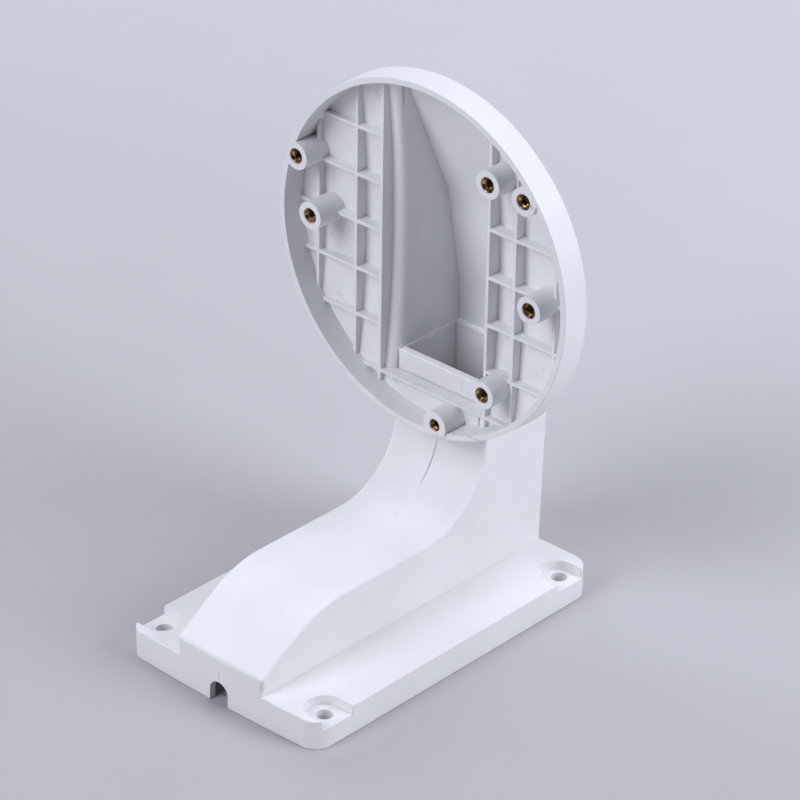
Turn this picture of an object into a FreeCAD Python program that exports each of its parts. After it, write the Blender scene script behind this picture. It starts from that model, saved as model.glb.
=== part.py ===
import FreeCAD, Part
import math
import os

# Camera wall bracket: a screw-down plate, a hollow swept arm and a round dish for a small
# dome camera, moulded in one piece, with seven brass threaded inserts pressed into the dish.
# Millimetres, +Z up. The origin is the centre of the plate on the wall plane (z = 0).
# The dish looks towards -Y, the cable notch is in the -Y end of the plate.

# wall plate
PLATE_W = 82.5
PLATE_L = 130.4
PLATE_H = 10.3
PLATE_BOW = 0.8
PLATE_CORNER = 6.2
PLATE_CORNER_BACK = 8.0
PLATE_EDGE = 0.5
INNER_CORNER = 0.8
PLATE_WALL = 2.4
PLATE_TOP = 2.5

# wall screws: distance of the holes from the plate's ends, and the recesses round them,
# open to the long sides, with the length each takes before and behind its hole
SCREW_X = 35.0
SCREW_END = 10.0
SCREW_HOLE_R = 2.7
SCREW_BOSS_R = 5.6
RECESS_DEPTH = 3.3
RECESS_FRONT = (-6.9, 5.9)
RECESS_BACK = (-8.2, 4.8)
RECESS_INNER_X = 29.3
RECESS_CORNER = 6.3
RECESS_WALL = 2.2
RECESS_FLOOR = 2.3

# cable notch in the front end
NOTCH_R = 3.85
NOTCH_TOP = 7.8

# swept arm; each length that ends in IN is measured in from the plate's rear end
WALL = 2.0
SHELF_WALL = 2.4
ARM_FOOT_HALF = 18.0
ARM_HEAD_HALF = 19.9
ARM_HEAD_Z = 78.0
ARM_NOSE_Z = 16.6
ARM_SLOPE_DEG = 31.8
ARM_BROW_R = 40.0
ARM_TOP_Z = 32.4
ARM_SWEEP_R = 27.0
ARM_FRONT_IN = 30.1
ARM_NOSE_ROUND = 2.0
ARM_EDGE_ROUND = 1.2
DUCT_NOSE_ROUND = 1.0
DUCT_DRAFT = 0.3
SIDE_LEDGE = 0.5

# dish
DISH_FRONT_IN = 42.0
DISH_Z = 121.6
DISH_R = 60.0
DISH_DRAFT = 0.4
RIM_WALL = 2.0
BAND_DEPTH = 9.5
BAND_EASE = 0.5
INNER_DRAFT = 0.15
DOME_DEPTH = 12.6
DOME_FALL = 4.1
DOME_WALL = 2.0

# housing behind the dish; the knee and the top as (length in from the rear end, height)
HOUSING_FOOT_IN = 0.2
HOUSING_BEND_Z = 93.0
HOUSING_KNEE = (7.0, 129.9)
HOUSING_TOP = (29.5, 178.6)
HOUSING_BEND_R = 35.0
REAR_SLOPE = 1.0
REAR_TIP_R = 6.0
REAR_LEAD = 0.5
CHANNEL_ROUND = 4.0
CHANNEL_ROUND_TOP = 2.0
CHANNEL_FOOT_Z = 72.4
SHELF_TOP_Z = 79.4
SHELF_SIDE = 0.6
FOOT_STEP = 1.3
LEDGE = 1.5

# ribs inside the dish
RIB_T = 1.2
RIB_DEPTH = 7.0
RIB_ROOT = 0.6
RIB_X = (22.4, 33.3, 49.8)
RIB_Z = (33.2, 16.6, 0.0, -16.6, -33.2)
LOW_RIB_Z = -49.8

# threaded bosses: inner four, outer three
BOSS_R = 4.7
INNER_CIRCLE_R = 46.0
INNER_ANGLES = (52.3, 0.0, -52.3, 180.0)
OUTER_CIRCLE_R = 55.5
OUTER_ANGLES = (40.0, -81.0, 160.0)
BOSS_PROUD = 0.75

# brass inserts, M4
INSERT_R = 2.6
THREAD_R = 1.65
MOUTH_R = 2.2
# the smaller insert of the lowest boss, M3
SMALL_INSERT_R = 2.1
SMALL_THREAD_R = 1.25
SMALL_MOUTH_R = 1.7
SMALL_INSERT = "outer_2"
INSERT_L = 8.0
INSERT_SUNK = 0.3
INSERT_FIT = 0.02
MOUTH_DEPTH = 0.6
GROOVE_DEPTH = 0.35
GROOVE_W = 1.2
HOLE_SPARE = 0.4
HOLE_TIP = 0.8
HOLE_DRAFT = 0.04

# places along the plate that follow from its length
END_Y = PLATE_L / 2
SCREW_Y = END_Y - SCREW_END
ARM_FRONT_Y = END_Y - ARM_FRONT_IN
DISH_FRONT_Y = END_Y - DISH_FRONT_IN

# lengths that only help to build: how far a cut runs past a face, a lap between two
# spaces, and how near two places count as the same
OVER = 2.0
LAP = 0.01
SAME = 0.05
NEAR = 0.4

V = FreeCAD.Vector


def box(x0, x1, y0, y1, z0, z1):
    """Box between two corners."""
    return Part.makeBox(x1 - x0, y1 - y0, z1 - z0, V(x0, y0, z0))


def arc(a, m, b):
    """Arc edge through three points."""
    return Part.Arc(V(*a), V(*m), V(*b)).toShape()


def line(a, b):
    """Straight edge between two points."""
    return Part.makeLine(V(*a), V(*b))


def prism(edges, direction):
    """Solid swept from a closed chain of edges."""
    return Part.Face(Part.Wire(edges)).extrude(V(*direction))


def outline(inset, z0, z1):
    """Plate outline, drawn in by inset, as a solid between two heights."""
    w = PLATE_W / 2 - inset
    l = END_Y - inset
    r = max(PLATE_CORNER - inset, INNER_CORNER)
    b = max(PLATE_CORNER_BACK - inset, INNER_CORNER)
    k = r * (1 - math.sqrt(0.5))
    m = b * (1 - math.sqrt(0.5))
    edges = []
    edges.append(line((w, -l + r, z0), (w, l - b, z0)))
    edges.append(arc((w, l - b, z0), (w - m, l - m, z0), (w - b, l, z0)))
    edges.append(line((w - b, l, z0), (-w + b, l, z0)))
    edges.append(arc((-w + b, l, z0), (-w + m, l - m, z0), (-w, l - b, z0)))
    edges.append(line((-w, l - b, z0), (-w, -l + r, z0)))
    edges.append(arc((-w, -l + r, z0), (-w + k, -l + k, z0), (-w + r, -l, z0)))
    edges.append(arc((-w + r, -l, z0), (0, -l - PLATE_BOW, z0), (w - r, -l, z0)))
    edges.append(arc((w - r, -l, z0), (w - k, -l + k, z0), (w, -l + r, z0)))
    return prism(edges, (0, 0, z1 - z0))


def rounded_block(x0, x1, y0, y1, z0, z1, r):
    """Block with rounded upright corners."""
    block = box(x0, x1, y0, y1, z0, z1)
    upright = [e for e in block.Edges if e.BoundBox.ZLength > z1 - z0 - SAME]
    most = min(x1 - x0, y1 - y0) / 2 - SAME
    return block.makeFillet(min(r, most), upright)


def round_corner(a, b, c, r):
    """Two tangent points and the middle of the arc that rounds the corner at b."""
    ab = (V(0, a[0], a[1]) - V(0, b[0], b[1])).normalize()
    cb = (V(0, c[0], c[1]) - V(0, b[0], b[1])).normalize()
    half = ab.getAngle(cb) / 2
    t = r / math.tan(half)
    corner = V(0, b[0], b[1])
    bisector = (ab + cb).normalize()
    centre = corner + bisector * (r / math.sin(half))
    middle = centre - bisector * r
    start = corner + ab * t
    end = corner + cb * t
    return start, middle, end


def chain(points, radii):
    """Closed side profile in the YZ plane with the corners rounded by the given radii."""
    stops = []
    n = len(points)
    for i in range(n):
        a = points[i - 1]
        b = points[i]
        c = points[(i + 1) % n]
        if radii[i] > 0:
            stops.append(round_corner(a, b, c, radii[i]))
        else:
            p = V(0, b[0], b[1])
            stops.append((p, None, p))
    edges = []
    for i in range(n):
        start, middle, end = stops[i]
        if middle is not None:
            edges.append(Part.Arc(start, middle, end).toShape())
        nxt = stops[(i + 1) % n][0]
        if end.distanceToPoint(nxt) > LAP:
            edges.append(Part.makeLine(end, nxt))
    return edges


def side_solid(points, radii, half):
    """Solid of the given half width from a side profile."""
    face = Part.Face(Part.Wire(chain(points, radii)))
    face.translate(V(-half, 0, 0))
    return face.extrude(V(2 * half, 0, 0))


def front_wedge(inset, ledge=0.0):
    """Width of the arm and the housing, seen from the front, with the head narrower by a ledge."""
    foot = ARM_FOOT_HALF - inset
    head = ARM_HEAD_HALF - inset - ledge
    top = DISH_Z + DISH_R + OVER
    y0 = -PLATE_L
    pts = [(-foot, 0), (foot, 0), (head, ARM_HEAD_Z), (head, top), (-head, top), (-head, ARM_HEAD_Z)]
    corners = [V(x, y0, z) for x, z in pts]
    corners.append(corners[0])
    return Part.Face(Part.makePolygon(corners)).extrude(V(0, 2 * PLATE_L, 0))


def shifted(a, b, inset):
    """Line through a and b, moved to its right-hand side by inset, as two points."""
    dy = b[0] - a[0]
    dz = b[1] - a[1]
    n = math.hypot(dy, dz)
    oy = dz / n * inset
    oz = -dy / n * inset
    return (a[0] + oy, a[1] + oz), (b[0] + oy, b[1] + oz)


def meet(p, q):
    """Point where two lines cross, each given by two points."""
    (y1, z1), (y2, z2) = p
    (y3, z3), (y4, z4) = q
    d = (y1 - y2) * (z3 - z4) - (z1 - z2) * (y3 - y4)
    a = y1 * z2 - z1 * y2
    b = y3 * z4 - z3 * y4
    return ((a * (y3 - y4) - (y1 - y2) * b) / d, (a * (z3 - z4) - (z1 - z2) * b) / d)


def arm_front_line(inset):
    """Corner points of the front of the arm from the nose to the dish, and their radii."""
    nose_y = -END_Y - PLATE_BOW
    rise = math.tan(math.radians(ARM_SLOPE_DEG))
    top_z = ARM_TOP_Z - inset
    slope = shifted((nose_y, ARM_NOSE_Z), (0, ARM_NOSE_Z - nose_y * rise), inset)
    flat = ((nose_y, top_z), (0, top_z))
    face_y = ARM_FRONT_Y + inset
    nose = ((nose_y + inset, 0), (nose_y + inset, ARM_NOSE_Z))
    brow = meet(slope, flat)
    tip = meet(slope, nose)
    return nose_y + inset, tip, brow, (face_y, top_z)


def housing_back_line(inset):
    """Corner points of the back of the housing from the plate to the top of the dish."""
    foot_y = END_Y - HOUSING_FOOT_IN
    knee = (END_Y - HOUSING_KNEE[0], HOUSING_KNEE[1])
    head = (END_Y - HOUSING_TOP[0], HOUSING_TOP[1])
    low = ((END_Y - inset, 0), (foot_y - inset, HOUSING_BEND_Z))
    mid = shifted(knee, (foot_y, HOUSING_BEND_Z), inset)
    top = shifted(head, knee, inset)
    return low[0], meet(low, mid), meet(mid, top), top


def arm_outside():
    """Arm and housing from outside."""
    nose_y, tip, brow, sweep = arm_front_line(0.0)
    foot, bend, knee, top = housing_back_line(0.0)
    peak = meet(top, ((ARM_FRONT_Y, 0), (ARM_FRONT_Y, DISH_Z)))
    pts = [(nose_y, 0), tip, brow, sweep, peak, knee, bend, foot]
    radii = [0, ARM_NOSE_ROUND, ARM_BROW_R, ARM_SWEEP_R, 0, HOUSING_BEND_R, HOUSING_BEND_R, 0]
    solid = side_solid(pts, radii, ARM_HEAD_HALF + OVER)
    solid = solid.common(front_wedge(0.0))
    solid = solid.common(outline(0.0, 0.0, DISH_Z + 2 * DISH_R))
    above = box(-DISH_R, DISH_R, 0, PLATE_L, DISH_Z, DISH_Z + 2 * DISH_R)
    above = above.cut(rear_cone(0.0))
    return solid.cut(above)


def rear_cone(inset):
    """Cone behind the band of the dish that the top of the housing stays inside."""
    r = DISH_R + DISH_DRAFT - inset
    y0 = DISH_FRONT_Y + BAND_DEPTH - inset * REAR_LEAD
    length = (r - REAR_TIP_R) / REAR_SLOPE
    cone = Part.makeCone(r, REAR_TIP_R, length, V(0, y0, DISH_Z), V(0, 1, 0))
    return cone.fuse(dish_cylinder(r, 0, y0))


def arm_edges(solid):
    """Long upright and sweeping edges of the arm, front ones and back ones."""
    front = []
    back = []
    for e in solid.Edges:
        m = e.valueAt((e.FirstParameter + e.LastParameter) / 2)
        side = ARM_FOOT_HALF + (ARM_HEAD_HALF - ARM_FOOT_HALF) * min(m.z / ARM_HEAD_Z, 1.0)
        if abs(abs(m.x) - side) > SAME or m.z < SAME:
            continue
        if m.y < ARM_FRONT_Y + SAME and m.z < DISH_Z:
            front.append(e)
        elif m.y > ARM_FRONT_Y + SAME and e.BoundBox.ZLength > WALL / 2:
            back.append(e)
    return front, back


def dish_cylinder(r, y0, y1):
    """Cylinder on the axis of the dish."""
    return Part.makeCylinder(r, y1 - y0, V(0, y0, DISH_Z), V(0, 1, 0))


def turned(points, arc_index):
    """Solid turned about the axis of the dish from (radius, depth) points."""
    edges = []
    n = len(points)
    place = [V(0, DISH_FRONT_Y + d, DISH_Z - r) for r, d in points]
    i = 0
    while i < n:
        a = place[i]
        if i == arc_index:
            edges.append(Part.Arc(a, place[i + 1], place[(i + 2) % n]).toShape())
            i += 2
        else:
            edges.append(Part.makeLine(a, place[(i + 1) % n]))
            i += 1
    face = Part.Face(Part.Wire(edges))
    return face.revolve(V(0, 0, DISH_Z), V(0, 1, 0), 360)


def dome_depth(r):
    """Depth of the inner dome floor behind the rim at a radius."""
    return DOME_DEPTH - DOME_FALL * (r / (DISH_R - RIM_WALL)) ** 2


def dish_outside():
    """Dish from outside: band, soft rear edge and domed back."""
    back = BAND_DEPTH + BAND_EASE
    deep = DOME_DEPTH + DOME_WALL
    band_r = DISH_R + DISH_DRAFT
    back_r = band_r - BAND_EASE
    middle = (back_r / 2, deep - (deep - back) / 4)
    pts = [(0, 0), (DISH_R, 0), (band_r, BAND_DEPTH), (back_r, back), middle, (0, deep)]
    return turned(pts, 3)


def dish_inside():
    """Room inside the rim down to the domed floor."""
    r = DISH_R - RIM_WALL
    low_r = r - INNER_DRAFT
    rim = (low_r, dome_depth(low_r))
    middle = (low_r / 2, dome_depth(low_r / 2))
    pts = [(0, -OVER), (r, -OVER), (r, 0), rim, middle, (0, dome_depth(0))]
    return turned(pts, 3)


def channel_inside():
    """Upright channel behind the dish floor, carried down beside the shelf."""
    foot, bend, knee, top = housing_back_line(WALL)
    front_y = DISH_FRONT_Y + RIB_DEPTH
    start = meet((foot, bend), ((0, SHELF_TOP_Z), (DISH_R, SHELF_TOP_Z)))
    peak = meet(top, ((front_y, 0), (front_y, DISH_Z)))
    inner_y = shoulder_y()
    pts = [(front_y, CHANNEL_FOOT_Z), (inner_y, CHANNEL_FOOT_Z), (inner_y, SHELF_TOP_Z)]
    pts = pts + [start, bend, knee, peak]
    radii = [0, 0, 0, 0, HOUSING_BEND_R - WALL, HOUSING_BEND_R - WALL, 0]
    solid = side_solid(pts, radii, ARM_HEAD_HALF - WALL)
    return solid.common(channel_limit())


def shoulder_y():
    """Depth that leaves room for the soft shoulder beside the foot of the channel."""
    return DISH_FRONT_Y + DOME_DEPTH + CHANNEL_ROUND


def channel_limit():
    """Rim wall on the way down, and the cone under the top of the housing."""
    r = DISH_R - RIM_WALL
    upper = box(-DISH_R, DISH_R, 0, PLATE_L, DISH_Z, DISH_Z + DISH_R).common(rear_cone(DISH_DRAFT + RIM_WALL))
    lower = box(-DISH_R, DISH_R, 0, PLATE_L, DISH_Z - DISH_R, DISH_Z).common(dish_cylinder(r, 0, PLATE_L))
    return upper.fuse(lower)


def shelf():
    """Head of the arm that stands in the dish: flat shelf face and the fuller foot below the low rib."""
    half = ARM_HEAD_HALF - SHELF_SIDE
    face = box(-half, half, ARM_FRONT_Y, shoulder_y() + OVER, CHANNEL_FOOT_Z - OVER, SHELF_TOP_Z)
    foot_y = DISH_FRONT_Y + RIB_DEPTH + FOOT_STEP
    low_z = DISH_Z + LOW_RIB_Z
    foot = box(-half, half, foot_y, ARM_FRONT_Y + WALL, DISH_Z - DISH_R, low_z)
    foot = foot.common(dish_cylinder(DISH_R - RIM_WALL / 2, 0, PLATE_L))
    return face.fuse(foot)


def shelf_front():
    """Space in front of the shelf, where the low rib runs on."""
    return box(-DISH_R, DISH_R, 0, ARM_FRONT_Y + RIB_ROOT, 0, SHELF_TOP_Z)


def shoulder_edge(room, side):
    """Edge between the dish floor and one side wall of the channel."""
    at = side * (ARM_HEAD_HALF - WALL)
    for e in room.Edges:
        m = e.valueAt((e.FirstParameter + e.LastParameter) / 2)
        depth = m.y - DISH_FRONT_Y
        rad = math.hypot(m.x, m.z - DISH_Z)
        on_wall = abs(m.x - at) < SAME
        on_floor = abs(depth - dome_depth(rad)) < NEAR
        if on_wall and on_floor and e.Length > DISH_R:
            return e
    return None


def dish_room():
    """Dish room and channel as one shape with soft shoulders beside the channel."""
    room = dish_inside().fuse(channel_inside()).removeSplitter()
    for side in (-1, 1):
        e = shoulder_edge(room, side)
        if e is None:
            continue
        low_first = e.valueAt(e.FirstParameter).z < e.valueAt(e.LastParameter).z
        if low_first:
            room = room.makeFillet(CHANNEL_ROUND, CHANNEL_ROUND_TOP, [e])
        else:
            room = room.makeFillet(CHANNEL_ROUND_TOP, CHANNEL_ROUND, [e])
    return room.cut(shelf())


def arm_inside():
    """Cable duct: room inside the arm, open below, up to the shelf opening."""
    nose_y, tip, brow, sweep = arm_front_line(SHELF_WALL)
    back = END_Y - WALL - LEDGE
    top_z = SHELF_TOP_Z + LAP
    pts = [(nose_y, -OVER), tip, brow, sweep, (sweep[0], top_z), (back - DUCT_DRAFT, top_z), (back, -OVER)]
    radii = [0, DUCT_NOSE_ROUND, ARM_BROW_R - SHELF_WALL, ARM_SWEEP_R + SHELF_WALL, 0, 0, 0]
    solid = side_solid(pts, radii, ARM_HEAD_HALF + OVER)
    keep = outline(PLATE_WALL, -OVER, DISH_Z)
    return solid.common(wedge_down(WALL, SIDE_LEDGE)).common(keep)


def wedge_down(inset, ledge):
    """Front wedge carried on below the wall plane."""
    foot = ARM_FOOT_HALF - inset
    wedge = front_wedge(inset, ledge)
    return wedge.fuse(box(-foot, foot, -PLATE_L, PLATE_L, -OVER, WALL))


def recess_spans():
    """The four screw recesses as side sign, length range and screw place."""
    spans = []
    for sx in (-1, 1):
        for (before, behind), sy in ((RECESS_FRONT, -SCREW_Y), (RECESS_BACK, SCREW_Y)):
            spans.append((sx, (sy + before, sy + behind), sy))
    return spans


def recess(sx, span, grow, z0):
    """Recess round a screw hole, open to the long side."""
    inner = RECESS_INNER_X - grow
    outer = PLATE_W / 2 + PLATE_CORNER + OVER
    x0, x1 = sorted((sx * inner, sx * outer))
    top = PLATE_H + OVER
    return rounded_block(x0, x1, span[0] - grow, span[1] + grow, z0, top, RECESS_CORNER + grow)


def plate_inside():
    """Room under the plate, kept clear of the recesses and the screw bosses."""
    room = outline(PLATE_WALL, -OVER, PLATE_H - PLATE_TOP)
    floor = PLATE_H - RECESS_DEPTH
    for sx, span, sy in recess_spans():
        room = room.cut(recess(sx, span, RECESS_WALL, floor - RECESS_FLOOR))
        room = room.cut(Part.makeCylinder(SCREW_BOSS_R, PLATE_H + OVER, V(sx * SCREW_X, sy, 0), V(0, 0, 1)))
    return room


def notch():
    """Cable notch with a round top through the front end."""
    y0 = -END_Y - PLATE_BOW - OVER
    depth = PLATE_WALL + PLATE_BOW + 2 * OVER
    centre_z = NOTCH_TOP - NOTCH_R
    top = Part.makeCylinder(NOTCH_R, depth, V(0, y0, centre_z), V(0, 1, 0))
    return top.fuse(box(-NOTCH_R, NOTCH_R, y0, y0 + depth, -OVER, centre_z))


def boss_places():
    """Places of the threaded bosses as (name, x, z)."""
    places = []
    inner = ("inner", INNER_CIRCLE_R, INNER_ANGLES)
    outer = ("outer", OUTER_CIRCLE_R, OUTER_ANGLES)
    for circle, r, angles in (inner, outer):
        for i, a in enumerate(angles):
            t = math.radians(a)
            places.append(("%s_%d" % (circle, i + 1), r * math.cos(t), DISH_Z + r * math.sin(t)))
    return places


def rib_lattice():
    """Ribs on the floor of the dish, before they are trimmed to the room."""
    y0 = DISH_FRONT_Y + RIB_DEPTH
    y1 = DISH_FRONT_Y + DOME_DEPTH + RIB_ROOT
    t = RIB_T / 2
    ribs = []
    for sx in (-1, 1):
        for x in RIB_X:
            ribs.append(box(sx * x - t, sx * x + t, y0, y1, DISH_Z - DISH_R, DISH_Z + DISH_R))
        for z in RIB_Z:
            x0, x1 = sorted((sx * RIB_X[0], sx * DISH_R))
            ribs.append(box(x0, x1, y0, y1, DISH_Z + z - t, DISH_Z + z + t))
    z = DISH_Z + LOW_RIB_Z
    ribs.append(box(-DISH_R, DISH_R, y0, y1, z - t, z + t))
    return ribs


def in_dish(shape):
    """Trim a rib or a boss to the thickness of the dish."""
    r = DISH_R - RIM_WALL / 2
    shell = dish_outside().common(dish_cylinder(r, DISH_FRONT_Y - OVER, PLATE_L))
    shell = shell.fuse(dish_cylinder(r, DISH_FRONT_Y - BOSS_PROUD, DISH_FRONT_Y + RIB_DEPTH))
    return shape.common(shell)


def boss_face_y():
    """Plane of the boss faces, a little in front of the rim."""
    return DISH_FRONT_Y - BOSS_PROUD


def insert_sizes(name):
    """Outer radius, thread radius and mouth radius of an insert."""
    if name == SMALL_INSERT:
        return SMALL_INSERT_R, SMALL_THREAD_R, SMALL_MOUTH_R
    return INSERT_R, THREAD_R, MOUTH_R


def boss(x, z):
    """Round boss from in front of the rim plane down to the dish floor."""
    return Part.makeCylinder(BOSS_R, DOME_DEPTH + BOSS_PROUD, V(x, boss_face_y(), z), V(0, 1, 0))


def boss_hole(name, x, z):
    """Hole for an insert, a hair wider at its mouth, with a shallow cone at its end."""
    r = insert_sizes(name)[0] + INSERT_FIT
    deep = INSERT_SUNK + INSERT_L + HOLE_SPARE
    end = boss_face_y() + deep
    mouth_r = r + HOLE_DRAFT * (deep + OVER) / deep
    axis = V(0, 1, 0)
    hole = Part.makeCone(mouth_r, r, deep + OVER, V(x, end - deep - OVER, z), axis)
    return hole.fuse(Part.makeCone(r, 0, HOLE_TIP, V(x, end, z), axis))


def insert(name, x, z):
    """Brass insert with a threaded bore, an eased mouth and one groove round the middle."""
    outer, thread, mouth_r = insert_sizes(name)
    y0 = boss_face_y() + INSERT_SUNK
    axis = V(0, 1, 0)
    groove_y = y0 + (INSERT_L - GROOVE_W) / 2
    body = Part.makeCylinder(outer, INSERT_L, V(x, y0, z), axis)
    bore = Part.makeCylinder(thread, INSERT_L + 2 * OVER, V(x, y0 - OVER, z), axis)
    mouth = Part.makeCone(mouth_r, thread, MOUTH_DEPTH, V(x, y0, z), axis)
    ring = Part.makeCylinder(outer + OVER, GROOVE_W, V(x, groove_y, z), axis)
    core = Part.makeCylinder(outer - GROOVE_DEPTH, GROOVE_W, V(x, groove_y, z), axis)
    return body.cut(bore).cut(mouth).cut(ring.cut(core))


def plate_outside():
    """Plate with a softly rounded top edge."""
    plate = outline(0.0, 0.0, PLATE_H)
    top = [e for e in plate.Edges if e.BoundBox.ZMin > PLATE_H - SAME]
    return plate.makeFillet(PLATE_EDGE, top)


def bracket():
    """The moulded bracket in one piece."""
    arm = arm_outside()
    front, back = arm_edges(arm)
    arm = arm.makeFillet(ARM_EDGE_ROUND, front + back)
    body = plate_outside().fuse([arm, dish_outside()])
    floor = PLATE_H - RECESS_DEPTH
    for sx, span, sy in recess_spans():
        body = body.cut(recess(sx, span, 0.0, floor))
    body = body.cut(plate_inside())
    body = body.cut(arm_inside())
    body = body.cut(dish_room())
    body = body.cut(notch())
    lattice = rib_lattice()
    lattice = lattice[0].fuse(lattice[1:])
    lattice = in_dish(lattice).cut(channel_inside().cut(shelf_front()))
    bosses = [in_dish(boss(x, z)) for name, x, z in boss_places()]
    body = body.fuse([lattice] + bosses)
    for name, x, z in boss_places():
        body = body.cut(boss_hole(name, x, z))
    for sx, span, sy in recess_spans():
        hole = Part.makeCylinder(SCREW_HOLE_R, PLATE_H + 2 * OVER, V(sx * SCREW_X, sy, -OVER), V(0, 0, 1))
        body = body.cut(hole)
    return body.removeSplitter()


def main():
    """Write one file for each piece."""
    os.makedirs("parts", exist_ok=True)
    body = bracket()
    solids = body.Solids
    print("bracket solids", len(solids), "volume", round(body.Volume, 1), "valid", body.isValid())
    print("box", body.BoundBox)
    if len(solids) == 1:
        body = solids[0]
    body.exportStep("parts/bracket.step")
    for name, x, z in boss_places():
        part = insert(name, x, z)
        part.exportStep("parts/insert_%s.step" % name)


main()
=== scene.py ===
"""Looks for the camera wall bracket: white moulded plastic, brass inserts, floor and light."""

import logging
import math
from dataclasses import dataclass
from enum import Enum

import bmesh
import bpy
from mathutils import Matrix, Vector


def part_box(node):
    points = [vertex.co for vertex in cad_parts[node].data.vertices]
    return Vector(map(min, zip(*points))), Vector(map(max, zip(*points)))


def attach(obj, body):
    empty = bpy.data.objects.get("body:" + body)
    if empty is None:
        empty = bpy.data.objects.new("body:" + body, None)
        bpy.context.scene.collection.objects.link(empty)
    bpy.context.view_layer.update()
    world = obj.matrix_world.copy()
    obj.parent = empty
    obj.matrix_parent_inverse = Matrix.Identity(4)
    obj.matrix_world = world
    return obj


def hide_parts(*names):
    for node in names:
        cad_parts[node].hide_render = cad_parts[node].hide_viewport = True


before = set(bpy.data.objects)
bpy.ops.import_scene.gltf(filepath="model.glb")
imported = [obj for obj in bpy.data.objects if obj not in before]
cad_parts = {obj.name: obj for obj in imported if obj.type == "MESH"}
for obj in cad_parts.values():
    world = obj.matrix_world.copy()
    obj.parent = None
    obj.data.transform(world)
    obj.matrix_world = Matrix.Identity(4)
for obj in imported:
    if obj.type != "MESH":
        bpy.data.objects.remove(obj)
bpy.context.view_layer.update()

log = logging.getLogger("bracket")

Socket = bpy.types.NodeSocket
Triple = tuple[float, float, float]
Span = tuple[float, float]
Tone = Triple | Socket

MM = 0.001
IMAGE_PX = 800.0
SENSOR_MM = 36.0
QUARTER = math.pi / 2

# Where most values of a noise pattern lie.
NOISE_BAND: Span = (0.3, 0.7)
# Spots per metre along a mark's broken edge.
RAGGED_SCALE = 1100.0
# Share of a mark's reach that has its full strength.
MARK_CORE = 0.5
# The Mix node's colour sockets, whose names its other kinds share.
MIX_BASE, MIX_OVER, MIX_RESULT = 6, 7, 2
# The thread's ridge is a triangle: its height and its base's distance, in radii.
RIDGE_SIDES = 3
RIDGE_HEIGHT = 1.5
RIDGE_BASE = 0.5


class Blend(Enum):
    """How one colour is laid over another."""

    PLAIN = "MIX"
    DARKEN = "MULTIPLY"


class Sum(Enum):
    """How two values are joined."""

    ADD = "ADD"
    TAKE = "SUBTRACT"
    TIMES = "MULTIPLY"
    LARGER = "MAXIMUM"
    SIZE = "ABSOLUTE"
    BELOW = "LESS_THAN"


def mm(*values: float) -> Vector:
    """Vector in metres from millimetres."""
    return Vector([v * MM for v in values])


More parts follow.
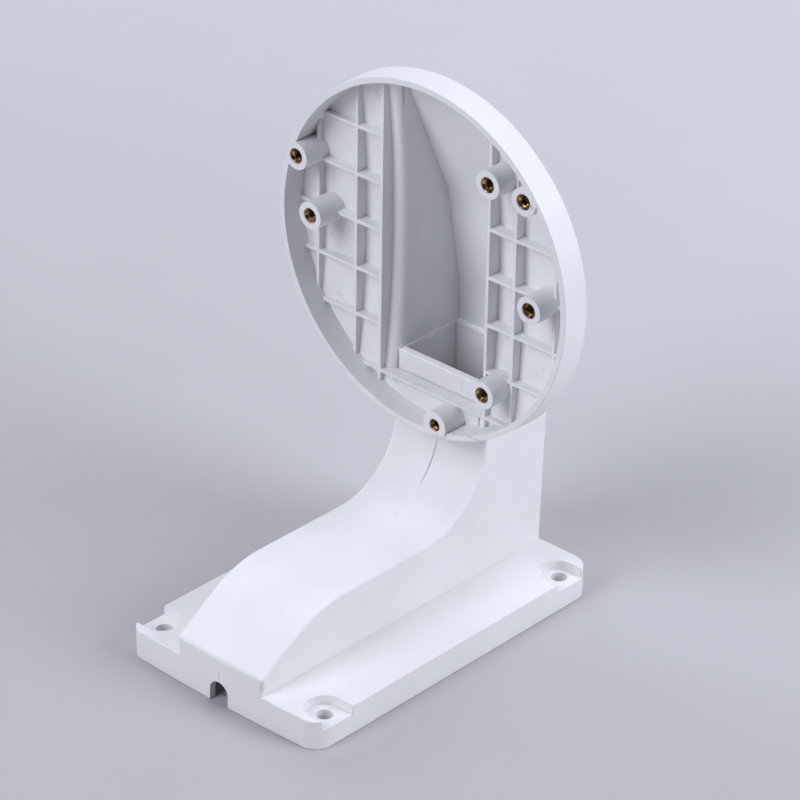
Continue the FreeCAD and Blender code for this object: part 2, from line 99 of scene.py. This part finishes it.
class Nodes:
    """Adds shader nodes to one material and joins them."""

    def __init__(self, name: str) -> None:
        """Starts a material with a Principled shader.

        Args:
            name: The material's name.
        """
        self.material = bpy.data.materials.new(name)
        self.material.use_nodes = True
        self.tree = self.material.node_tree
        self.tree.nodes.clear()
        self.shader = self.add("ShaderNodeBsdfPrincipled")
        self.output = self.add("ShaderNodeOutputMaterial")
        self.join(self.shader.outputs["BSDF"], self.output.inputs["Surface"])
        self.place = self.add("ShaderNodeTexCoord").outputs["Object"]

    def add(self, kind: str, **settings: object) -> bpy.types.Node:
        """Adds a node and sets its properties.

        Args:
            kind: The node's type name.
            **settings: Properties of the node by name.

        Returns:
            The new node.
        """
        node = self.tree.nodes.new(kind)
        for key, value in settings.items():
            setattr(node, key, value)
        return node

    def join(self, source: Socket, target: Socket) -> None:
        """Links an output to an input."""
        self.tree.links.new(source, target)

    def noise(self, scale: float, detail: float = 3.0) -> Socket:
        """Adds a noise pattern.

        Args:
            scale: Spots per metre.
            detail: Number of finer octaves.

        Returns:
            The pattern as a value about 0.5.
        """
        node = self.add("ShaderNodeTexNoise")
        node.inputs["Scale"].default_value = scale
        node.inputs["Detail"].default_value = detail
        self.join(self.place, node.inputs["Vector"])
        return node.outputs["Fac"]

    def ramp(
        self,
        value: Socket,
        low: float,
        high: float,
        out_low: float = 0.0,
        out_high: float = 1.0,
    ) -> Socket:
        """Maps a value from one range to another, held at its ends.

        Args:
            value: The value to map.
            low: Start of the range it comes from.
            high: End of the range it comes from.
            out_low: Result at the start.
            out_high: Result at the end.

        Returns:
            The mapped value.
        """
        node = self.add("ShaderNodeMapRange", interpolation_type="SMOOTHSTEP")
        self.join(value, node.inputs["Value"])
        node.inputs["From Min"].default_value = low
        node.inputs["From Max"].default_value = high
        node.inputs["To Min"].default_value = out_low
        node.inputs["To Max"].default_value = out_high
        return node.outputs["Result"]

    def joined(self, how: Sum, a: Socket, b: Socket | float) -> Socket:
        """Joins two values with a math operation.

        Args:
            how: The way they are joined.
            a: First value.
            b: Second value, a socket or a number.

        Returns:
            The result.
        """
        node = self.add("ShaderNodeMath", operation=how.value)
        self.join(a, node.inputs[0])
        if isinstance(b, (int, float)):
            node.inputs[1].default_value = b
        else:
            self.join(b, node.inputs[1])
        return node.outputs["Value"]

    def colours(self, how: Blend, share: Socket, base: Tone, over: Tone) -> Socket:
        """Lays one colour over another.

        Args:
            how: The way they mix.
            share: How much of the second colour shows.
            base: First colour, a socket or an RGB tuple.
            over: Second colour, a socket or an RGB tuple.

        Returns:
            The mixed colour.
        """
        node = self.add("ShaderNodeMix", data_type="RGBA", blend_type=how.value)
        self.join(share, node.inputs["Factor"])
        for place, colour in ((MIX_BASE, base), (MIX_OVER, over)):
            socket = node.inputs[place]
            if isinstance(colour, tuple):
                socket.default_value = (*colour, 1.0)
            else:
                self.join(colour, socket)
        return node.outputs[MIX_RESULT]

    def bump(self, height: Socket, depth: float, normal: Socket | None = None) -> Socket:
        """Turns a height into a surface normal.

        Args:
            height: The height pattern, from 0 to 1.
            depth: Depth of the pattern in metres.
            normal: Normal to start from.

        Returns:
            The changed normal.
        """
        node = self.add("ShaderNodeBump")
        node.inputs["Strength"].default_value = 1.0
        node.inputs["Distance"].default_value = depth
        self.join(height, node.inputs["Height"])
        if normal is not None:
            self.join(normal, node.inputs["Normal"])
        return node.outputs["Normal"]

    def strongest(self, marks: tuple["Mark", ...]) -> Socket | None:
        """Lays several marks over each other.

        Args:
            marks: The marks.

        Returns:
            The strongest of them over the surface, or None where there are none.
        """
        whole = None
        for mark in marks:
            mask = mark.mask(self)
            whole = mask if whole is None else self.joined(Sum.LARGER, whole, mask)
        return whole


@dataclass(frozen=True)
class Mark:
    """A small mark on the moulding, soft at its edge.

    Attributes:
        centre: Its middle, in millimetres.
        half: Half its size along the three axes, in millimetres.
        strength: How much of its own colour shows.
        ragged: How far its edge is broken up, as a share of its size.
    """

    centre: Triple
    half: Triple
    strength: float
    ragged: float = 0.0

    def mask(self, nodes: Nodes) -> Socket:
        """Adds the mark to a material.

        Args:
            nodes: The material's nodes.

        Returns:
            The mark's strength over the surface.
        """
        offset = nodes.add("ShaderNodeVectorMath", operation="SUBTRACT")
        offset.inputs[1].default_value = mm(*self.centre)
        nodes.join(nodes.place, offset.inputs[0])
        scaled = nodes.add("ShaderNodeVectorMath", operation="DIVIDE")
        scaled.inputs[1].default_value = mm(*self.half)
        nodes.join(offset.outputs["Vector"], scaled.inputs[0])
        length = nodes.add("ShaderNodeVectorMath", operation="LENGTH")
        nodes.join(scaled.outputs["Vector"], length.inputs[0])
        reach = length.outputs["Value"]
        if self.ragged:
            noise = nodes.noise(RAGGED_SCALE)
            rough = nodes.ramp(noise, *NOISE_BAND, -self.ragged, self.ragged)
            reach = nodes.joined(Sum.ADD, reach, rough)
        return nodes.ramp(reach, MARK_CORE, 1.0, self.strength, 0.0)


@dataclass(frozen=True)
class WhitePlastic:
    """White moulded plastic with a fine grain, cloudy tone, the mould's marks, painted shade and
    painted highlights.

    Attributes:
        light: The plain colour.
        shade: The colour of the cloudier places.
        grime_and_shade: The dark colour of dirt in the marks, and of painted shade in two of them.
        highlight_tint: The lighter colour of painted highlights on up-facing ledges.
        rough_low: Roughness of the smoother places.
        rough_high: Roughness of the duller places.
        cloud_scale: Clouds per metre.
        cloud_detail: Finer octaves in the clouds.
        cloud_band: Where a cloud begins and where it is full.
        dull_scale: Duller places per metre.
        grain_scale: Grains per metre.
        grain_detail: Finer octaves in the grain.
        grain_depth: Depth of the grain in metres.
        edge_radius: Radius that the light sees at sharp edges, in metres.
        edge_samples: Rays that find those edges.
        ior: The plastic's refraction.
        marks: Seam lines, scratch and smudge marks, and spots of painted shade.
        ledge_highlights: Painted highlights, lighter lines along up-facing ledges where light
            falls.
    """

    light: Triple = (0.80, 0.805, 0.80)
    shade: Triple = (0.768, 0.773, 0.768)
    grime_and_shade: Triple = (0.30, 0.30, 0.33)
    highlight_tint: Triple = (0.97, 0.975, 0.96)
    rough_low: float = 0.48
    rough_high: float = 0.62
    cloud_scale: float = 42.0
    cloud_detail: float = 4.0
    cloud_band: Span = (0.38, 0.68)
    dull_scale: float = 168.0
    grain_scale: float = 1900.0
    grain_detail: float = 2.0
    grain_depth: float = 0.00001
    edge_radius: float = 0.0004
    edge_samples: int = 6
    ior: float = 1.5
    marks: tuple[Mark, ...] = ()
    ledge_highlights: tuple[Mark, ...] = ()

    def build(self) -> bpy.types.Material:
        """Makes the material.

        Returns:
            The finished material.
        """
        nodes = Nodes("white_plastic")
        clouds = nodes.ramp(nodes.noise(self.cloud_scale, self.cloud_detail), *self.cloud_band)
        tone = nodes.colours(Blend.PLAIN, clouds, self.light, self.shade)
        soil_and_shade = nodes.strongest(self.marks)
        bright = nodes.strongest(self.ledge_highlights)
        grain = nodes.ramp(nodes.noise(self.grain_scale, self.grain_detail), *NOISE_BAND)
        edge = nodes.add("ShaderNodeBevel", samples=self.edge_samples)
        edge.inputs["Radius"].default_value = self.edge_radius
        normal = nodes.bump(grain, self.grain_depth, edge.outputs["Normal"])
        # Painted highlight: a lighter colour laid along up-facing ledges and the shelf's top.
        if bright is not None:
            tone = nodes.colours(Blend.PLAIN, bright, tone, self.highlight_tint)
        # Dirt marks, and painted shade where two marks darken places that lie in shade.
        if soil_and_shade is not None:
            tone = nodes.colours(Blend.PLAIN, soil_and_shade, tone, self.grime_and_shade)
            normal = nodes.bump(nodes.joined(Sum.TAKE, grain, soil_and_shade), self.grain_depth, normal)
        nodes.join(tone, nodes.shader.inputs["Base Color"])
        nodes.join(normal, nodes.shader.inputs["Normal"])
        dull = nodes.noise(self.dull_scale)
        rough = nodes.ramp(dull, *NOISE_BAND, self.rough_low, self.rough_high)
        nodes.join(rough, nodes.shader.inputs["Roughness"])
        nodes.shader.inputs["IOR"].default_value = self.ior
        return nodes.material


@dataclass(frozen=True)
class Brass:
    """Machined brass, darker where oil and plastic dust have settled.

    Attributes:
        bright: The bare metal.
        dull: The stained metal.
        rough_low: Roughness of the bare metal.
        rough_high: Roughness of the stained metal.
        stain_scale: Stains per metre.
        stain_band: Where a stain begins and where it is full.
        turning_scale: Tool marks per metre.
        turning_detail: Finer octaves in the tool marks.
        turning_depth: Depth of the tool marks in metres.
    """

    bright: Triple = (0.90, 0.62, 0.28)
    dull: Triple = (0.10, 0.06, 0.03)
    rough_low: float = 0.16
    rough_high: float = 0.5
    stain_scale: float = 900.0
    stain_band: Span = (0.355, 0.60)
    turning_scale: float = 5200.0
    turning_detail: float = 1.0
    turning_depth: float = 0.000006

    def build(self) -> bpy.types.Material:
        """Makes the material.

        Returns:
            The finished material.
        """
        nodes = Nodes("brass")
        stain = nodes.ramp(nodes.noise(self.stain_scale), *self.stain_band)
        tone = nodes.colours(Blend.PLAIN, stain, self.bright, self.dull)
        nodes.join(tone, nodes.shader.inputs["Base Color"])
        rough = nodes.ramp(stain, 0.0, 1.0, self.rough_low, self.rough_high)
        nodes.join(rough, nodes.shader.inputs["Roughness"])
        turning = nodes.noise(self.turning_scale, self.turning_detail)
        nodes.join(nodes.bump(turning, self.turning_depth), nodes.shader.inputs["Normal"])
        nodes.shader.inputs["Metallic"].default_value = 1.0
        return nodes.material


@dataclass(frozen=True)
class StudioPaper:
    """Pale matt paper that the bracket stands on, with painted shade: darker on the camera's side,
    lighter towards the far side.

    Attributes:
        near_shaded_tint: The paper's colour on the camera's side, darkened as painted shade.
        far_lit_tint: Its lighter colour on the far side, where the painted shade ends.
        ahead: Direction from the near to the far side.
        near: Where the colour begins to change, in metres along that direction.
        far: Where it ends.
        cloud_scale: Clouds per metre.
        cloud_share: How much a cloud darkens the paper.
        cloud_tint: The colour that a cloud is darkened with.
        tooth_scale: Fibres per metre.
        tooth_detail: Finer octaves in the fibres.
        tooth_depth: Depth of the fibres in metres.
        rough: The paper's roughness.
        window: Half the width and length of the place under the plate where light from
            below passes, in metres.
    """

    near_shaded_tint: Triple = (0.433, 0.430, 0.434)
    far_lit_tint: Triple = (0.72, 0.744, 0.747)
    ahead: Triple = (-0.238, 0.971, 0.0)
    near: float = -0.22
    far: float = 0.78
    cloud_scale: float = 9.0
    cloud_share: float = 0.12
    cloud_tint: Triple = (0.8, 0.8, 0.8)
    tooth_scale: float = 600.0
    tooth_detail: float = 2.0
    tooth_depth: float = 0.00002
    rough: float = 0.85
    window: Span = (0.040, 0.050)

    def under_plate(self, nodes: Nodes) -> Socket:
        """Finds the place under the plate.

        Args:
            nodes: The material's nodes.

        Returns:
            One where light from below passes up to the plate's hollow side, and zero elsewhere.
        """
        place = nodes.add("ShaderNodeSeparateXYZ")
        nodes.join(nodes.place, place.inputs["Vector"])
        inside = nodes.add("ShaderNodeLightPath").outputs["Is Shadow Ray"]
        for axis, half in zip("XY", self.window):
            away = nodes.joined(Sum.SIZE, place.outputs[axis], 0.0)
            within = nodes.joined(Sum.BELOW, away, half)
            inside = nodes.joined(Sum.TIMES, inside, within)
        return inside

    def build(self) -> bpy.types.Material:
        """Makes the material.

        Returns:
            The finished material, clear from below and clear to light under the plate.
        """
        nodes = Nodes("studio_paper")
        along = nodes.add("ShaderNodeVectorMath", operation="DOT_PRODUCT")
        along.inputs[1].default_value = self.ahead
        nodes.join(nodes.place, along.inputs[0])
        share = nodes.ramp(along.outputs["Value"], self.near, self.far)
        # Painted shade: the paper darkens towards the camera in place of light falling off there.
        tone = nodes.colours(Blend.PLAIN, share, self.near_shaded_tint, self.far_lit_tint)
        cloud = nodes.ramp(nodes.noise(self.cloud_scale), *NOISE_BAND, 0.0, self.cloud_share)
        tone = nodes.colours(Blend.DARKEN, cloud, tone, self.cloud_tint)
        nodes.join(tone, nodes.shader.inputs["Base Color"])
        tooth = nodes.noise(self.tooth_scale, self.tooth_detail)
        nodes.join(nodes.bump(tooth, self.tooth_depth), nodes.shader.inputs["Normal"])
        nodes.shader.inputs["Roughness"].default_value = self.rough
        clear = nodes.add("ShaderNodeBsdfTransparent")
        side = nodes.add("ShaderNodeNewGeometry")
        mix = nodes.add("ShaderNodeMixShader")
        through = nodes.joined(Sum.LARGER, self.under_plate(nodes), side.outputs["Backfacing"])
        nodes.join(through, mix.inputs["Fac"])
        for shader, socket in zip((nodes.shader, clear), mix.inputs[1:]):
            nodes.join(shader.outputs["BSDF"], socket)
        nodes.join(mix.outputs["Shader"], nodes.output.inputs["Surface"])
        return nodes.material


def mesh_object(name: str, bm: bmesh.types.BMesh, material: bpy.types.Material) -> bpy.types.Object:
    """Turns a bmesh into an object at the origin.

    Args:
        name: The object's name.
        bm: The shape, which is freed.
        material: Its finish.

    Returns:
        The new object.
    """
    mesh = bpy.data.meshes.new(name)
    bm.to_mesh(mesh)
    bm.free()
    mesh.materials.append(material)
    thing = bpy.data.objects.new(name, mesh)
    bpy.context.scene.collection.objects.link(thing)
    return thing


@dataclass
class Moulding:
    """The white moulding, which keeps its own solid.

    Attributes:
        node: Name of its solid.
        seam: Weld line up the middle of the arm's sweep.
        notch_seam: Short weld line above the cable notch.
        scuffs_and_shade: Scratch and scuff marks on the shelf, the arm and a boss, a thin dark
            line inside the rim's bottom, and painted shade at the arm's front-right corner.
        smudges_and_shade: Small smudge marks on the dish floor and its ribs, and painted shade
            under the low rib's left end.
        ledge_highlights: Painted highlights on the up-facing ledges round the cable duct's opening
            and along the shelf's top.
    """

    node: str = "bracket"
    seam: Mark = Mark((-0.55, 31.2, 46.6), (0.34, 8.8, 11.6), 0.85)
    notch_seam: Mark = Mark((0.0, -66.0, 10.1), (0.2, 1.2, 2.9), 0.6)
    scuffs_and_shade: tuple[Mark, ...] = (
        Mark((8.66, 35.1, 75.8), (0.16, 0.6, 2.1), 0.4),
        Mark((-0.8, 15.6, 33.5), (0.9, 0.9, 0.6), 0.1, 0.4),
        Mark((45.8, 22.45, 157.2), (1.0, 0.3, 1.6), 0.42, 0.45),
        Mark((24.4, 23.2, 68.1), (9.0, 0.3, 0.5), 0.3, 0.4),
        # Painted shade on the arm's rounded front-right corner above the plate, where it lies in
        # shade.
        Mark((18.3, -65.3, 13.9), (0.8, 1.2, 2.2), 0.24, 0.3),
    )
    smudges_and_shade: tuple[Mark, ...] = (
        Mark((-42.4, 33.6, 114.2), (1.3, 1.0, 0.6), 0.2, 0.4),
        Mark((-46.6, 33.1, 111.0), (0.7, 1.0, 1.3), 0.18, 0.4),
        Mark((-42.6, 32.4, 91.2), (1.6, 1.0, 1.2), 0.14, 0.5),
        Mark((41.7, 32.7, 93.7), (0.8, 1.0, 1.4), 0.16, 0.4),
        Mark((44.1, 32.7, 96.4), (0.7, 1.0, 1.2), 0.14, 0.4),
        Mark((25.7, 34.3, 98.3), (1.2, 1.0, 1.4), 0.16, 0.5),
        Mark((-26.4, 32.4, 167.3), (1.5, 1.2, 1.8), 0.2, 0.4),
        # Painted shade under the low rib's left end, where the surface lies in shade.
        Mark((-16.5, 31.5, 70.0), (1.6, 0.6, 1.6), 0.22, 0.4),
    )
    # Painted highlights on the ledges round the duct's opening and on the shelf's top, which face
    # up to the light.
    ledge_highlights: tuple[Mark, ...] = (
        Mark((0.0, 62.4, 79.4), (40.0, 1.8, 0.6), 1.0, 0.3),
        Mark((-17.6, 50.0, 79.4), (0.9, 26.0, 0.55), 1.0, 0.35),
        Mark((-17.4, 50.0, 78.9), (0.8, 2.4, 0.8), 0.8, 0.3),
        Mark((0.0, 36.8, 79.4), (36.0, 3.6, 0.9), 1.0, 0.15),
    )

    def marks(self) -> tuple[Mark, ...]:
        """All the marks that the plastic carries.

        Returns:
            Seams, scratch and smudge marks, and spots of painted shade.
        """
        return (self.seam, self.notch_seam, *self.scuffs_and_shade, *self.smudges_and_shade)

    def dress(self) -> bpy.types.Object:
        """Gives the moulding its plastic.

        Returns:
            The dressed node.
        """
        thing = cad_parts[self.node]
        material = WhitePlastic(marks=self.marks(), ledge_highlights=self.ledge_highlights).build()
        for slot in thing.material_slots:
            slot.material = material
        return thing


@dataclass
class ThreadedInsert:
    """Brass insert with a knurled barrel and a modelled thread.

    Attributes:
        node: Name of the solid that it stands for.
        brass: Its finish.
        bore_r: Radius at the crests of the thread, in millimetres.
        root_r: Radius at the roots of the thread.
        pitch: Rise of the thread for each turn.
        mouth_depth: Depth of the mouth, which narrows to the thread.
        mouth_ease: How far in and how deep the mouth's eased edge ends.
        ring_w: Width of the flat ring round the mouth.
        knurl_depth: Depth of the knurl's grooves.
        groove_depth: Depth of the plain groove round the middle.
        groove_w: Width of that groove.
        teeth: Number of knurled teeth.
        steps: Points round the bore for each turn of the thread.
    """

    node: str
    brass: bpy.types.Material
    bore_r: float = 1.65
    root_r: float = 2.02
    pitch: float = 0.7
    mouth_depth: float = 0.6
    mouth_ease: Span = (0.1, 0.06)
    ring_w: float = 0.04
    knurl_depth: float = 0.12
    groove_depth: float = 0.35
    groove_w: float = 1.2
    teeth: int = 32
    steps: int = 40

    def __post_init__(self) -> None:
        """Reads the barrel's place and size from the solid."""
        low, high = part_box(self.node)
        self.outer_r = (high[0] - low[0]) / 2 / MM
        self.length = (high[1] - low[1]) / MM
        self.front = Vector(((low[0] + high[0]) / 2, low[1], (low[2] + high[2]) / 2))

    def profile(self) -> list[tuple[float, float, bool]]:
        """Cross-section of the barrel without its thread.

        Returns:
            Points of radius, depth and whether the point is knurled, in millimetres.
        """
        near = (self.length - self.groove_w) / 2
        far = near + self.groove_w
        core = self.outer_r - self.groove_depth
        face_r = self.outer_r - self.knurl_depth
        ease_in, ease_depth = self.mouth_ease
        return [
            (self.root_r, self.mouth_depth, False),
            (face_r - ease_in, ease_depth, False),
            (face_r - self.ring_w, 0.0, False),
            (face_r, 0.0, False),
            (self.outer_r, self.knurl_depth, True),
            (self.outer_r, near, True),
            (core, near, False),
            (core, far, False),
            (self.outer_r, far, True),
            (self.outer_r, self.length - self.knurl_depth, True),
            (face_r, self.length, False),
            (self.root_r, self.length, False),
        ]

    def barrel(self) -> bmesh.types.BMesh:
        """Turns the cross-section and cuts the knurl.

        Returns:
            The barrel as a closed ring.
        """
        bm = bmesh.new()
        count = self.teeth * 2
        loops = []
        for radius, depth, knurled in self.profile():
            loop = []
            for i in range(count):
                angle = 2 * math.pi * i / count
                r = radius - (self.knurl_depth if knurled and i % 2 else 0.0)
                point = mm(r * math.cos(angle), depth, r * math.sin(angle))
                loop.append(bm.verts.new(self.front + point))
            loops.append(loop)
        for k, loop in enumerate(loops):
            after = loops[(k + 1) % len(loops)]
            for i in range(count):
                j = (i + 1) % count
                bm.faces.new((loop[i], loop[j], after[j], after[i]))
        bmesh.ops.recalc_face_normals(bm, faces=bm.faces)
        return bm

    def thread_tree(self) -> bpy.types.NodeTree:
        """Geometry Nodes tree that winds the thread's ridge along the bore.

        Returns:
            The tree, with named inputs for its sizes.
        """
        tree = bpy.data.node_groups.new("thread_of_" + self.node, "GeometryNodeTree")
        face = tree.interface
        face.new_socket("Geometry", in_out="OUTPUT", socket_type="NodeSocketGeometry")
        for name in ("Radius", "Turns", "Height", "Ridge"):
            face.new_socket(name, in_out="INPUT", socket_type="NodeSocketFloat")
        face.new_socket("Finish", in_out="INPUT", socket_type="NodeSocketMaterial")
        sizes = tree.nodes.new("NodeGroupInput")
        spiral = tree.nodes.new("GeometryNodeCurveSpiral")
        spiral.inputs["Resolution"].default_value = self.steps
        tree.links.new(sizes.outputs["Turns"], spiral.inputs["Rotations"])
        tree.links.new(sizes.outputs["Radius"], spiral.inputs["Start Radius"])
        tree.links.new(sizes.outputs["Radius"], spiral.inputs["End Radius"])
        tree.links.new(sizes.outputs["Height"], spiral.inputs["Height"])
        upright = tree.nodes.new("GeometryNodeSetCurveNormal")
        upright.mode = "Z_UP"
        tree.links.new(spiral.outputs["Curve"], upright.inputs["Curve"])
        ridge = tree.nodes.new("GeometryNodeCurvePrimitiveCircle")
        ridge.inputs["Resolution"].default_value = RIDGE_SIDES
        tree.links.new(sizes.outputs["Ridge"], ridge.inputs["Radius"])
        turned = tree.nodes.new("GeometryNodeTransform")
        turned.inputs["Rotation"].default_value = (0.0, 0.0, QUARTER)
        tree.links.new(ridge.outputs["Curve"], turned.inputs["Geometry"])
        sweep = tree.nodes.new("GeometryNodeCurveToMesh")
        sweep.inputs["Fill Caps"].default_value = True
        tree.links.new(upright.outputs["Curve"], sweep.inputs["Curve"])
        tree.links.new(turned.outputs["Geometry"], sweep.inputs["Profile Curve"])
        real = tree.nodes.new("GeometryNodeRealizeInstances")
        tree.links.new(sweep.outputs["Mesh"], real.inputs["Geometry"])
        finish = tree.nodes.new("GeometryNodeSetMaterial")
        tree.links.new(real.outputs["Geometry"], finish.inputs["Geometry"])
        tree.links.new(sizes.outputs["Finish"], finish.inputs["Material"])
        result = tree.nodes.new("NodeGroupOutput")
        tree.links.new(finish.outputs["Geometry"], result.inputs["Geometry"])
        return tree

    def thread(self) -> bpy.types.Mesh:
        """Winds the ridge and turns it into a plain mesh in its place.

        Returns:
            The ridge's mesh.
        """
        carrier = bpy.data.objects.new("winder", bpy.data.meshes.new("winder"))
        bpy.context.scene.collection.objects.link(carrier)
        modifier = carrier.modifiers.new("thread", "NODES")
        modifier.node_group = self.thread_tree()
        height = self.length - self.mouth_depth
        ridge_r = (self.root_r - self.bore_r) / RIDGE_HEIGHT
        values = {
            "Radius": (self.root_r - ridge_r * RIDGE_BASE) * MM,
            "Turns": height / self.pitch,
            "Height": height * MM,
            "Ridge": ridge_r * MM,
            "Finish": self.brass,
        }
        for item in modifier.node_group.interface.items_tree:
            if item.in_out == "INPUT":
                modifier[item.identifier] = values[item.name]
        depsgraph = bpy.context.evaluated_depsgraph_get()
        mesh = bpy.data.meshes.new_from_object(carrier.evaluated_get(depsgraph))
        bpy.data.objects.remove(carrier)
        along = Matrix.Rotation(-QUARTER, 4, "X")
        start = self.front + mm(0.0, self.mouth_depth, 0.0)
        mesh.transform(Matrix.Translation(start) @ along)
        return mesh

    def build(self) -> bpy.types.Object:
        """Joins barrel and thread and lets them stand for the plain solid.

        Returns:
            The finished insert.
        """
        bm = self.barrel()
        bm.from_mesh(self.thread())
        thing = mesh_object(self.node + "_threaded", bm, self.brass)
        for face in thing.data.polygons:
            face.material_index = 0
        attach(thing, "root")
        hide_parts(self.node)
        return thing


@dataclass
class InsertSet:
    """The seven inserts of the dish.

    Attributes:
        small: Name of the insert with the finer thread.
        small_bore_r: Crest radius of the finer thread, in millimetres.
        small_root_r: Root radius of the finer thread.
        small_pitch: Pitch of the finer thread.
    """

    small: str = "insert_outer_2"
    small_bore_r: float = 1.25
    small_root_r: float = 1.54
    small_pitch: float = 0.5

    def build(self) -> list[bpy.types.Object]:
        """Makes every insert.

        Returns:
            The inserts.
        """
        brass = Brass().build()
        made = []
        fine = (self.small_bore_r, self.small_root_r, self.small_pitch)
        for node in sorted(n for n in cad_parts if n.startswith("insert_")):
            thread = fine if node == self.small else ()
            made.append(ThreadedInsert(node, brass, *thread).build())
        return made


@dataclass
class Lamp:
    """A soft square lamp that looks at a point.

    Attributes:
        name: Its name.
        place: Where it hangs, in metres.
        size: Length of its side, in metres.
        power: Its power in watts.
        target: What it looks at, in metres.
        tint: Its colour.
    """

    name: str
    place: Triple
    size: float
    power: float
    target: Triple = (0.0, 0.0, 0.08)
    tint: Triple = (0.868, 0.875, 1.0)

    def build(self) -> bpy.types.Object:
        """Hangs the lamp.

        Returns:
            The lamp.
        """
        data = bpy.data.lights.new(self.name, "AREA")
        data.shape = "SQUARE"
        data.size = self.size
        data.energy = self.power
        data.color = self.tint
        lamp = bpy.data.objects.new(self.name, data)
        lamp.location = self.place
        aim = Vector(self.target) - Vector(self.place)
        lamp.rotation_euler = aim.to_track_quat("-Z", "Y").to_euler()
        bpy.context.scene.collection.objects.link(lamp)
        return lamp


@dataclass
class Studio:
    """Floor, soft light and the camera.

    Attributes:
        floor_half: Half the width of the floor, in metres.
        floor_z: Height of the floor, a hair under the plate, in metres.
        sky: Strength of the even light from all round.
        backdrop: Colour seen past the edge of the floor.
        focal_px: Focal length in pixels of the picture.
        eye: The camera's place, in millimetres.
        yaw: Turn of the camera about the upright axis, in radians.
        pitch: Tilt of the camera above the level, in radians.
        roll: Turn of the picture, in radians.
        clip: The nearest and the farthest distance that the camera sees, in metres.
        lamps: The soft lamps.
    """

    floor_half: float = 3.0
    floor_z: float = -0.00015
    sky: float = 0.002
    backdrop: Triple = (0.62, 0.635, 0.72)
    focal_px: float = 3915.8
    eye: Triple = (722.7, -780.6, 682.2)
    yaw: float = -0.7370
    pitch: float = -0.5138
    roll: float = 0.0157
    clip: Span = (0.05, 20.0)
    lamps: tuple[Lamp, ...] = (
        Lamp("over", (0.1, 0.5, 1.5), 1.2, 11.0),
        Lamp("front", (-0.4, -1.5, 0.8), 1.0, 13.2),
        Lamp("front_high", (-0.35, -1.1, 1.3), 1.0, 11.6),
        Lamp("left", (-1.5, 0.3, 0.8), 1.0, 10.0),
        Lamp("right_rear", (1.2, 0.45, 0.7), 0.8, 16.4),
        Lamp("under", (-0.3, 0.5, -0.6), 0.4, 0.9, (0.0, 0.0, 0.0)),
    )

    def floor(self) -> bpy.types.Object:
        """Lays the paper just under the plate.

        Returns:
            The floor.
        """
        bm = bmesh.new()
        h = self.floor_half
        corners = ((-h, -h), (h, -h), (h, h), (-h, h))
        bm.faces.new([bm.verts.new((x, y, self.floor_z)) for x, y in corners])
        floor = mesh_object("paper", bm, StudioPaper().build())
        return floor

    def light(self) -> None:
        """Hangs the lamps and sets the even light."""
        for lamp in self.lamps:
            lamp.build()
        world = bpy.data.worlds.new("studio")
        world.use_nodes = True
        back = world.node_tree.nodes["Background"]
        back.inputs["Color"].default_value = (*self.backdrop, 1.0)
        path = world.node_tree.nodes.new("ShaderNodeLightPath")
        seen = world.node_tree.nodes.new("ShaderNodeMapRange")
        seen.inputs["To Min"].default_value = self.sky
        world.node_tree.links.new(path.outputs["Is Camera Ray"], seen.inputs["Value"])
        world.node_tree.links.new(seen.outputs["Result"], back.inputs["Strength"])
        bpy.context.scene.world = world

    def camera(self) -> bpy.types.Object:
        """Sets the camera where the photograph was taken.

        Returns:
            The camera.
        """
        level = math.cos(self.pitch)
        ahead = Vector(
            (level * math.sin(self.yaw), level * math.cos(self.yaw), math.sin(self.pitch))
        )
        right = Vector((math.cos(self.yaw), -math.sin(self.yaw), 0.0))
        up = right.cross(ahead)
        side = right * math.cos(self.roll) + up * math.sin(self.roll)
        top = up * math.cos(self.roll) - right * math.sin(self.roll)
        turn = Matrix((side, top, -ahead)).transposed()
        data = bpy.data.cameras.new("photo_camera")
        data.sensor_width = SENSOR_MM
        data.lens = self.focal_px / IMAGE_PX * SENSOR_MM
        data.clip_start, data.clip_end = self.clip
        camera = bpy.data.objects.new("photo_camera", data)
        camera.matrix_world = Matrix.Translation(mm(*self.eye)) @ turn.to_4x4()
        bpy.context.scene.collection.objects.link(camera)
        bpy.context.scene.camera = camera
        return camera


def main() -> None:
    """Dresses the bracket, makes the inserts and sets the studio."""
    logging.basicConfig(level=logging.INFO, format="%(name)s: %(message)s")
    bpy.context.scene.view_settings.view_transform = "Standard"
    moulding = Moulding().dress()
    log.info("moulding: %d faces", len(moulding.data.polygons))
    for insert in InsertSet().build():
        log.info("%s: %d faces", insert.name, len(insert.data.polygons))
    studio = Studio()
    studio.floor()
    studio.light()
    studio.camera()


if __name__ == "__main__":
    main()
